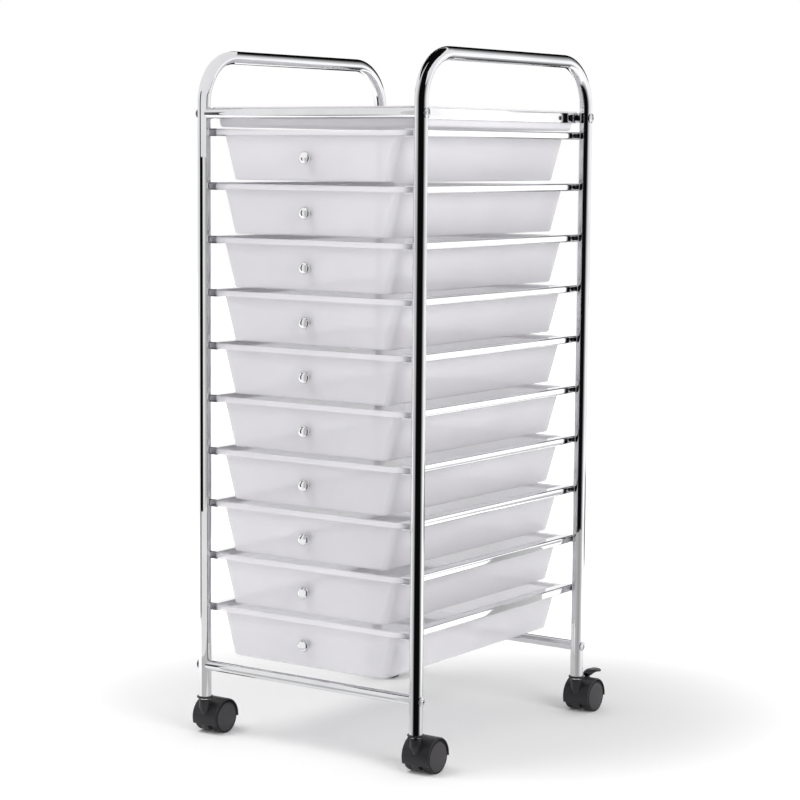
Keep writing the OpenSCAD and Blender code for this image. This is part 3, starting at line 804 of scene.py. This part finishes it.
def wheelRoom(reach):
    # side view of the room for a wheel: its round pocket and all under the hood's open edge
    c = caster
    t = radians(c["edgeTilt"])
    along = Vector((cos(t), sin(t)))
    start = Vector((0.0, c["edgeHeight"] - c["axleHeight"]))
    half = start.dot(along)
    root = sqrt(half ** 2 - start.dot(start) + c["pocketRadius"] ** 2)
    rear, front = start + along * (root - half), start + along * (-root - half)
    over = arc((0.0, 0.0), c["pocketRadius"], degrees(atan2(rear.y, rear.x)),
               degrees(atan2(front.y, front.x)) + (360 if front.y < 0 else 0), 80)
    left, right = start - along * reach, start + along * reach
    outline = [tuple(left), (-reach, -reach), (reach, -reach), tuple(right)] + over
    return [(y + c["trail"], z + c["axleHeight"]) for y, z in outline]


def housingMesh(name, braked):
    c = caster
    hood = sideCylinder("hood", c["hoodRadius"], -c["hoodHalf"], c["hoodHalf"], c["trail"], c["axleHeight"],
                        96, c["softEdge"])
    soft, top = c["columnSoft"], c["columnTop"]
    column = turned("column", [
        (0.0, c["columnFoot"]),
        (c["columnFootRadius"], c["columnFoot"]),
        (c["columnRadius"], c["columnFoot"] + c["columnTaper"]),
        (c["columnRadius"], top - soft),
        *arc((c["columnRadius"] - soft, top - soft), soft, 20, 90, 4),
        (0.0, top),
    ], 64)
    body = boolean("housing body", hood, [column], "UNION")
    far, wide = 3 * c["hoodRadius"], 1.5 * c["hoodHalf"]
    outline = wheelRoom(far)
    cutters = []
    for s in (-1, 1):
        ends = sorted((s * c["webHalf"], s * (c["hoodHalf"] + 3 * mm)))
        cutters.append(lofted("wheel room", [[(x, y, z) for y, z in outline] for x in ends]))
    cutters.append(boxMesh("below web", (-wide, -far, -far), (wide, far, c["webBottom"])))
    if braked:
        near, back = (c["trail"] + y for y in c["slotBack"])
        cutters.append(boxMesh("lever slot", (-c["slotHalf"], near, c["axleHeight"] + c["slotUp"]),
                               (c["slotHalf"], back, far)))
    mesh = bevelled(boolean(name, body, cutters), name, 0.35 * mm, 2, 40)
    outwards(mesh)
    return mesh


wheel = {
    "inner": 6.5 * mm,        # from the caster's middle to the wheel's two faces
    "outer": 20.9 * mm,
    "radius": 22.0 * mm,
    "discRadius": 19.4 * mm,
    "grooveDepth": 1.1 * mm,
    "grooveWidth": 0.8 * mm,
    "grooveEdge": 0.25 * mm,
    "crown": 0.9 * mm,
    "tread": 3.5 * mm,
    "disc": 4.0 * mm,
    "plug": 3.0 * mm,         # from the outer face to the bore's closed end
    "hub": 6.0 * mm,
    "bore": 2.55 * mm,
    "softEdge": 1.2 * mm,
    "sides": 72,
}


def wheelMesh(name):
    # the bore and the inner face first, then the tread, the groove and the slightly crowned disc, axis along Z
    w = wheel
    inner, outer, r, bore, hub, soft = w["inner"], w["outer"], w["radius"], w["bore"], w["hub"], w["softEdge"]
    rim, hollow, shoulder = r - w["tread"], outer - w["disc"], outer - w["crown"]
    groove, deep = w["discRadius"] + w["grooveWidth"], shoulder - w["grooveDepth"]
    profile = [(0.0, outer - w["plug"]), (bore, outer - w["plug"])]
    profile += [(bore, inner), (hub, inner), (hub, hollow), (rim, hollow), (rim, inner)]
    profile += arc((r - soft, inner + soft), soft, -90, 0, 5)
    profile += arc((r - soft, shoulder - soft), soft, 0, 90, 5)
    profile += [(groove + w["grooveEdge"], shoulder), (groove, shoulder - w["grooveEdge"])]
    profile += [(groove, deep), (w["discRadius"], deep)]
    for k in range(9):
        x = w["discRadius"] * (1 - k / 8)
        profile.append((x, outer - w["crown"] * (x / w["discRadius"]) ** 2))
    return turned(name, profile, w["sides"])


lever = {
    "pivotBack": 9.0 * mm,
    "pivotUp": 14.5 * mm,
    "width": 5.6 * mm,
    "tabThick": 4.2 * mm,
    "arch": 2.0 * mm,
    "rootBack": 3.0 * mm,      # from the pin to the tab's root, which is half the stalk
    "rootHalf": 6.5 * mm,
    "rootDrop": 5.1 * mm,      # from the lever's top to the tab's middle at its root
    "tipDrop": 0.2 * mm,
    "rootRound": (0.08, 0.8),  # share of the length that is rounded, and of the width that is left
    "tipRound": (0.82, 0.45),  # where the rounding starts, and how much it takes
    "edgeThin": 0.55,
    "pinRadius": 1.5 * mm,
    "pinHalf": 5.8 * mm,
    "steps": 14,
    "across": 10,
}


def leverMesh(name, low, high, cx, pivotY, pivotZ):
    # an arched tab that widens to its tip, on a stalk with its pin
    v = lever
    steps, across, thick = v["steps"], v["across"], v["tabThick"]
    rootY, tipY = pivotY - v["rootBack"], high.y
    rootZ, tipZ = high.z - v["rootDrop"], high.z - thick / 2 - v["tipDrop"]
    rootHalf, tipHalf = v["rootHalf"], (high.x - low.x) / 2
    rootEnd, rootShare = v["rootRound"]
    tipStart, tipLoss = v["tipRound"]
    points, faces = [], []
    for k in range(steps + 1):
        t = k / steps
        y = rootY + (tipY - rootY) * t
        z = rootZ + (tipZ - rootZ) * t + v["arch"] * sin(pi * min(t * 1.15, 1.0))
        half = rootHalf + (tipHalf - rootHalf) * t ** 0.9
        if t > tipStart:
            half *= sqrt(1 - ((t - tipStart) / (1 - tipStart)) ** 2 * tipLoss)
        if t < rootEnd:
            half *= rootShare + (1 - rootShare) * t / rootEnd
        for s in (1, -1):
            for n in range(across + 1):
                u = -1 + 2 * n / across
                points.append((cx + half * u, y, z + s * thick / 2 * (1 - v["edgeThin"] * u ** 4)))
    width = across + 1
    for k in range(steps):
        a, b = 2 * width * k, 2 * width * (k + 1)
        for n in range(across):
            faces.append((a + n, a + n + 1, b + n + 1, b + n))
            faces.append((a + width + n + 1, a + width + n, b + width + n, b + width + n + 1))
        faces.append((a, b, b + width, a + width))
        faces.append((a + across, a + width + across, b + width + across, b + across))
    e = 2 * width * steps
    for n in range(across):
        faces.append((n + 1, n, width + n, width + n + 1))
        faces.append((e + n, e + n + 1, e + width + n + 1, e + width + n))
    tab = meshFrom("tab", points, faces)
    outwards(tab)
    half = v["width"] / 2
    stalk = boxMesh("stalk", (cx - half, pivotY - v["rootBack"], pivotZ - v["pinRadius"]),
                    (cx + half, pivotY + v["rootBack"], rootZ + thick / 2))
    stalk = bevelled(stalk, "stalk", 0.4 * mm, 2, 40)
    pin = sideCylinder("pin", v["pinRadius"], cx - v["pinHalf"], cx + v["pinHalf"], pivotY, pivotZ, 24)
    return joined(name, [tab, stalk, pin])


corners = ("front_left", "front_right", "rear_left", "rear_right")
plainHousing = housingMesh("housing", False)
brakedHousing = housingMesh("braked housing", True)
wheelShape = wheelMesh("wheel")
for corner in corners:
    body = f"{corner}_caster"
    low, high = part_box(f"{corner}_caster_axle")
    cx, axleY, axleZ = middle(low, high)
    source = brakedHousing if corner.startswith("rear") else plainHousing
    mesh = moved(source, f"{corner}_housing", Matrix.Translation((cx, axleY - caster["trail"], 0)))
    addPiece(f"{corner}_housing", mesh, body, "caster_nylon", f"{corner}_caster_housing", 32)
    for side, turn in (("left", -90), ("right", 90)):
        name = f"{corner}_{side}_wheel"
        place = Matrix.Translation((cx, axleY, axleZ)) @ Matrix.Rotation(radians(turn), 4, "Y")
        piece = addPiece(name, moved(wheelShape, name, place), name + "_body", "wheel_nylon",
                         f"{corner}_caster_{side}_wheel", 32)
        piece.data.materials.append(finishes["tread_nylon"])
        edge = wheel["discRadius"] + 0.1 * mm
        for face in piece.data.polygons:
            if hypot(face.center.y - axleY, face.center.z - axleZ) > edge:
                face.material_index = 1
    axle = sideCylinder(f"{corner}_axle_pin", (high.z - low.z) / 2, low.x, high.x, axleY, axleZ, 28, 0.4 * mm)
    addPiece(f"{corner}_axle_pin", axle, body, "pin_steel", f"{corner}_caster_axle", 32)
for corner in ("rear_left", "rear_right"):
    low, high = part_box(f"{corner}_brake_lever")
    cx, axleY, axleZ = middle(*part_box(f"{corner}_caster_axle"))
    name = f"{corner}_brake_tab"
    mesh = leverMesh(name, low, high, cx, axleY + lever["pivotBack"], axleZ + lever["pivotUp"])
    addPiece(name, mesh, f"{corner}_brake", "caster_nylon", f"{corner}_brake_lever", 40)

socket = {
    "lip": 2.5 * mm,
    "soft": 0.7 * mm,
    "bore": 4.03 * mm,
    "radius": 7.77 * mm,
    "topRadius": 7.2 * mm,
    "topEdge": 0.6 * mm,
}
stem = {
    "radius": 4.0 * mm,
    "topEdge": 0.8 * mm,
    "collarRadius": 5.75 * mm,
    "collarLow": 48.6 * mm,
    "collarHigh": 51.5 * mm,
    "collarEdge": 0.3 * mm,
}
sockets, stems = [], []
socketLow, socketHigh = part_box("caster_sockets")
stemLow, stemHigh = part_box("caster_stems")
bottom, top, soft, bore = socketLow.z, socketLow.z + socket["lip"], socket["soft"], socket["bore"]
r, collar, collarEdge, topEdge = stem["radius"], stem["collarRadius"], stem["collarEdge"], stem["topEdge"]
for corner in corners:
    cx, axleY, axleZ = middle(*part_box(f"{corner}_caster_axle"))
    place = Matrix.Translation((cx, axleY - caster["trail"], 0))
    flange = socketHigh.x - cx if corner.endswith("right") else cx - socketLow.x
    profile = [(bore, bottom), (flange - soft, bottom)]
    profile += arc((flange - soft, bottom + soft), soft, -90, 0, 4)
    profile += arc((flange - soft, top - soft), soft, 0, 90, 4)
    profile += [(socket["radius"], top), (socket["radius"], socketHigh.z - socket["topEdge"])]
    profile += [(socket["topRadius"], socketHigh.z), (bore, socketHigh.z)]
    sockets.append(moved(turned("socket", profile, 64), "socket placed", place))
    profile = [(0.0, stemLow.z), (r, stemLow.z), (r, stem["collarLow"])]
    profile += [(collar - collarEdge, stem["collarLow"]), (collar, stem["collarLow"] + collarEdge)]
    profile += [(collar, stem["collarHigh"] - collarEdge), (collar - collarEdge, stem["collarHigh"])]
    profile += [(r, stem["collarHigh"]), (r, stemHigh.z - topEdge), (r - topEdge, stemHigh.z), (0.0, stemHigh.z)]
    stems.append(moved(turned("stem", profile, 40), "stem placed", place))
addPiece("socket_rings", joined("socket_rings", sockets), "cart_frame", "socket_nylon", "caster_sockets", 32)
addPiece("stem_pins", joined("stem_pins", stems), "cart_frame", "pin_steel", "caster_stems", 32)
print("casters made")


# Stage: floor, world, lamps and camera

studio = {
    "world": 0.64,
    "floor": 0.97,
    "key": 36,
    "fill": 42,
    # the floor's glow rises over this reach, so nearer the cart it is weaker and paints a pool of shade beside the
    # object's real shadow
    "paintedShadeReach": (0.32, 0.85),    # where the plain white floor begins and where it is full
    "floorGlow": (0.03, 0.5),
}


def seenRay(tree):
    # 1 for camera, mirrored and passing rays, which see the white background
    path = newNode(tree, "ShaderNodeLightPath")
    either = newNode(tree, "ShaderNodeMath", operation="MAXIMUM")
    every = newNode(tree, "ShaderNodeMath", operation="MAXIMUM")
    wire(tree, (path.outputs["Is Camera Ray"], either.inputs[0]), (path.outputs["Is Glossy Ray"], either.inputs[1]),
         (either.outputs[0], every.inputs[0]), (path.outputs["Is Transmission Ray"], every.inputs[1]))
    return every.outputs[0]


def floorMaterial():
    # white for the camera past its reach, where a glow that rises with the distance from the cart brings in plain
    # white; nearer in, the floor is darkened by the object's shadow and also by painted shade, where that glow is
    # weaker
    material, tree, shader = newMaterial("floor")
    shader.inputs["Base Color"].default_value = (studio["floor"],) * 3 + (1,)
    shader.inputs["Roughness"].default_value = 0.9
    shader.inputs["Specular IOR Level"].default_value = 0.1
    place = newNode(tree, "ShaderNodeTexCoord")
    distance = newNode(tree, "ShaderNodeVectorMath", operation="LENGTH")
    reach = rangeNode(tree, *studio["paintedShadeReach"], *studio["floorGlow"], interpolation_type="SMOOTHSTEP")
    glow = newNode(tree, "ShaderNodeEmission")
    add = newNode(tree, "ShaderNodeAddShader")
    mix = newNode(tree, "ShaderNodeMixShader")
    wire(tree, (place.outputs["Object"], distance.inputs[0]), (distance.outputs["Value"], reach.inputs["Value"]),
         (reach.outputs["Result"], glow.inputs["Strength"]), (shader.outputs["BSDF"], add.inputs[0]),
         (glow.outputs["Emission"], add.inputs[1]), (seenRay(tree), mix.inputs["Fac"]),
         (shader.outputs["BSDF"], mix.inputs[1]), (add.outputs["Shader"], mix.inputs[2]),
         (mix.outputs["Shader"], tree.nodes["Material Output"].inputs["Surface"]))
    return material


floor = newObject("floor", boxMesh("floor", (-9, -9, -0.02), (9, 9, 0.0)))
floor.data.materials.append(floorMaterial())

world = bpy.data.worlds.new("studio")
bpy.context.scene.world = world
world.use_nodes = True
tree = world.node_tree
lit = tree.nodes["Background"]
lit.inputs["Color"].default_value = (1, 1, 1, 1)
lit.inputs["Strength"].default_value = studio["world"]
seen = newNode(tree, "ShaderNodeBackground", {"Color": (1, 1, 1, 1), "Strength": 1.0})
mix = newNode(tree, "ShaderNodeMixShader")
wire(tree, (seenRay(tree), mix.inputs["Fac"]), (lit.outputs["Background"], mix.inputs[1]),
     (seen.outputs["Background"], mix.inputs[2]),
     (mix.outputs["Shader"], tree.nodes["World Output"].inputs["Surface"]))


def lamp(name, place, target, size, power):
    data = bpy.data.lights.new(name, "AREA")
    data.shape = "RECTANGLE"
    data.size, data.size_y = size
    data.energy = power
    light = newObject(name, data)
    light.location = place
    light.rotation_euler = (Vector(target) - Vector(place)).to_track_quat("-Z", "Y").to_euler()
    light.visible_glossy = False


lamp("key", (-1.1, -1.5, 3.0), (0, 0, 0.3), (1.4, 1.4), studio["key"])
lamp("fill", (2.8, -0.9, 1.4), (0, 0, 0.45), (1.6, 1.6), studio["fill"])

# cards that only mirrored rays see: they give the chrome its black and its light bands
nearPost, leftPost = (0.175, -0.225), (-0.175, -0.225)
black, cardLift = 0.004, 3 * mm


def sweep(centre, radius, stops):
    # a round line in plan through (angle, level) stops, angles in degrees from -Y towards +X
    out = []
    for (a0, l0), (a1, l1) in zip(stops, stops[1:]):
        steps = max(1, round(abs(a1 - a0) / 6))
        for k in range(steps + 1):
            a, level = radians(a0 + (a1 - a0) * k / steps), l0 + (l1 - l0) * k / steps
            out.append((centre[0] + radius * sin(a), centre[1] - radius * cos(a), level))
    return out


blackStops = [(-24, 0.42), (-6, black), (76, black)]
fadeStops = [(76, black), (90, 0.26), (102, 0.64), (116, 0.96)]
leftStops = [(-44, 0.5), (-37, black), (10, black), (16, 0.5)]
rightLine = sweep(nearPost, 0.5, blackStops) + sweep(nearPost, 1.6, fadeStops)
wallCards = {
    # name: lowest and highest point, and the card's line in plan with its levels
    "front_right_card": (0.0, 1.5, rightLine),
    "front_left_card": (0.0, 1.5, sweep(leftPost, 0.8, leftStops)),
    "front_light_card": (0.0, 1.4, [
        (-0.11, -0.48, 0.95), (-0.01, -0.44, 1.0), (0.124, -0.366, 0.45), (0.116, -0.277, 0.8)]),
    "top_bar_light_card": (0.79, 0.93, [(-0.20, -0.30, 1.0), (0.10, -0.30, 1.0)]),
    "low_bar_grey_card": (0.02, 0.095, [(-0.20, -0.30, 0.62), (0.10, -0.30, 0.62)]),
    "low_bar_light_card": (0.095, 0.30, [(-0.20, -0.30, 1.0), (0.10, -0.30, 1.0)]),
    "rear_post_light_card": (0.0, 0.25, [(0.165, 0.10, 0.6), (0.26, 0.11, 0.38), (0.29, 0.20, 0.85)]),
    "rear_high_card": (1.15, 3.4, [
        (-3.2, 2.2, black), (0.2, 2.35, black), (0.9, 2.4, 0.32), (1.3, 2.42, 0.62), (1.6, 2.45, 1.0)]),
    "rear_light_card": (0.0, 1.4, [(1.1, 2.75, 1.0), (1.4, 2.65, 1.3), (2.3, 2.3, 1.3), (2.6, 2.15, 1.0)]),
}
flatCards = {
    # name: height, level, and the card's corners in plan
    "overhead_card": (1.4, black, (-0.85, -0.72), (0.68, 0.25)),
    "crossbar_light_card": (0.93, 1.0, (-0.30, -0.34), (0.12, -0.16)),
}


def cardMaterial():
    material, tree, shader = newMaterial("mirror card")
    tree.nodes.remove(shader)
    level = newNode(tree, "ShaderNodeAttribute", attribute_name="level")
    glow = newNode(tree, "ShaderNodeEmission")
    wire(tree, (level.outputs["Fac"], glow.inputs["Color"]),
         (glow.outputs["Emission"], tree.nodes["Material Output"].inputs["Surface"]))
    return material


cardGlow = cardMaterial()


def raised(line, height):
    return [(x, y, height) for x, y, _ in line]


def mirrorCard(name, first, second, levels):
    # a strip between two lines of points, which the glossy rays alone meet
    count = len(first)
    faces = [(k, k + 1, count + k + 1, count + k) for k in range(count - 1)]
    mesh = meshFrom(name, first + second, faces)
    mesh.attributes.new("level", "FLOAT", "POINT").data.foreach_set("value", levels * 2)
    piece = newObject(name, mesh)
    piece.data.materials.append(cardGlow)
    for ray in ("camera", "diffuse", "transmission", "shadow", "volume_scatter"):
        setattr(piece, f"visible_{ray}", False)


for name, (low, high, line) in wallCards.items():
    mirrorCard(name, raised(line, low), raised(line, high), [level for _, _, level in line])
for name, (height, level, near, far) in flatCards.items():
    mirrorCard(name, [(near[0], near[1], height), (far[0], near[1], height)],
               [(near[0], far[1], height), (far[0], far[1], height)], [level, level])
inner = sweep(nearPost, 0.06, blackStops) + sweep(nearPost, 0.06, fadeStops)
mirrorCard("front_floor_card", raised(inner, cardLift), raised(rightLine, cardLift), [level for _, _, level in inner])
rearStops = [(-1.8, black), (0.15, black), (0.45, 0.12), (0.8, 0.42), (1.3, 0.66), (1.6, 0.95)]
mirrorCard("rear_floor_card", [(x, 1.3, cardLift) for x, _ in rearStops], [(x, 2.6, cardLift) for x, _ in rearStops],
           [level for _, level in rearStops])

view = {"place": (1.7629, -2.5618, 0.7963), "turn": 34.672, "down": 6.273, "roll": 0.457, "lens": 101.26}
cameraData = bpy.data.cameras.new("camera")
cameraData.lens = view["lens"]
cameraData.sensor_width = 36.0
camera = newObject("camera", cameraData)
camera.location = view["place"]
aim = Matrix.Rotation(radians(view["turn"]), 3, "Z") @ Matrix.Rotation(radians(90 - view["down"]), 3, "X")
camera.rotation_euler = (aim @ Matrix.Rotation(radians(view["roll"]), 3, "Z")).to_euler()
bpy.context.scene.camera = camera
bpy.context.scene.view_settings.view_transform = "Standard"
